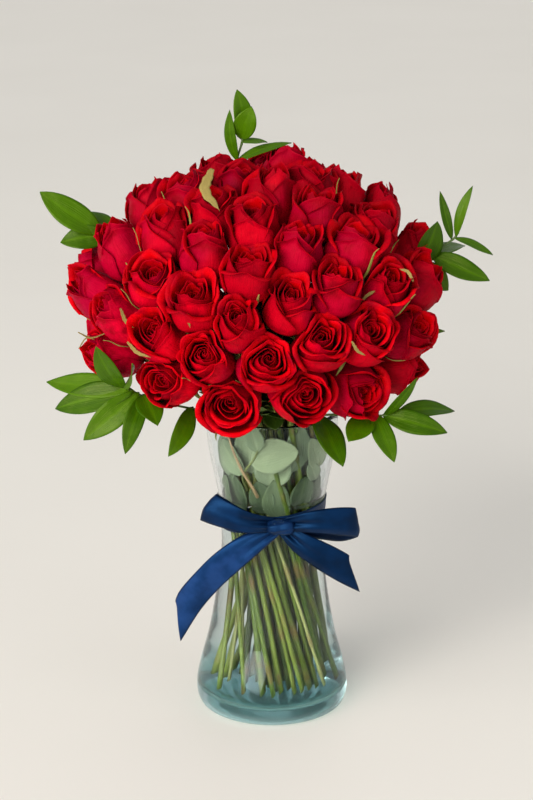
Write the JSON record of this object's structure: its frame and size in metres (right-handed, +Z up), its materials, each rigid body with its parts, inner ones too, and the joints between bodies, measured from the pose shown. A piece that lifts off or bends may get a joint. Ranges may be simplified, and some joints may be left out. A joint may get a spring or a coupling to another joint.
{
  "type": "rose bouquet in vase",
  "caption": "Domed bouquet of long-stemmed red roses with leafy sprays, standing in a waisted clear glass vase of water with a navy satin ribbon bow at its neck.",
  "frame": {"origin": "The middle of the flat underside of the vase's base, on the surface that it stands on.", "axes": "+Z runs up the vase's axis; -Y is the front, the side with the bow; +X is to the right seen from the front."},
  "size_m": [0.378, 0.2905, 0.541],
  "materials": {
    "glass": "clear, smooth, faintly teal in the thick base",
    "water": "clear still water",
    "stem": "satin green bark of fresh rose stems",
    "petal": "velvety red petals",
    "leaf": "glossy green leaves with fine veins",
    "pale_leaf": "matte grey-green leaves",
    "ribbon": "navy satin"
  },
  "bodies": {
    "root": {"vase_glass": "glass", "water": "water", "rose_stems": "stem", "rose_01": "petal", "rose_02": "petal", "rose_03": "petal", "rose_04": "petal", "rose_05_11": "petal", "rose_06_13": "petal", "rose_07_17": "petal", "rose_08": "petal", "rose_09_19": "petal", "rose_10": "petal", "rose_12_16": "petal", "rose_14_23": "petal", "rose_15_22": "petal", "rose_18_26": "petal", "rose_20_27": "petal", "rose_21": "petal", "rose_24": "petal", "rose_25_31": "petal", "rose_28": "petal", "rose_29_30": "petal", "rose_32": "petal", "rose_33": "petal", "rose_34": "petal", "rose_35": "petal", "rose_36": "petal", "rose_37": "petal", "rose_38": "petal", "rose_39": "petal", "rose_40_41": "petal", "rose_42": "petal", "rose_43": "petal", "rose_44": "petal", "rose_45": "petal", "rose_46": "petal", "rose_47": "petal", "rose_48": "petal", "rose_49": "petal", "rose_50": "petal", "rose_51": "petal", "rose_52_57": "petal", "rose_53": "petal", "rose_54": "petal", "rose_55": "petal", "rose_56": "petal", "mouth_leaves_behind": "pale_leaf", "mouth_leaves_front": "pale_leaf", "mouth_leaves_right": "pale_leaf", "ruscus_behind_left": "leaf", "ruscus_behind_right": "leaf", "ruscus_left": "leaf", "ruscus_low_left": "leaf", "ruscus_low_right": "leaf", "ruscus_right": "leaf", "ruscus_top": "leaf", "ribbon_band": "ribbon", "bow": "ribbon"}
  },
  "joints": []
}
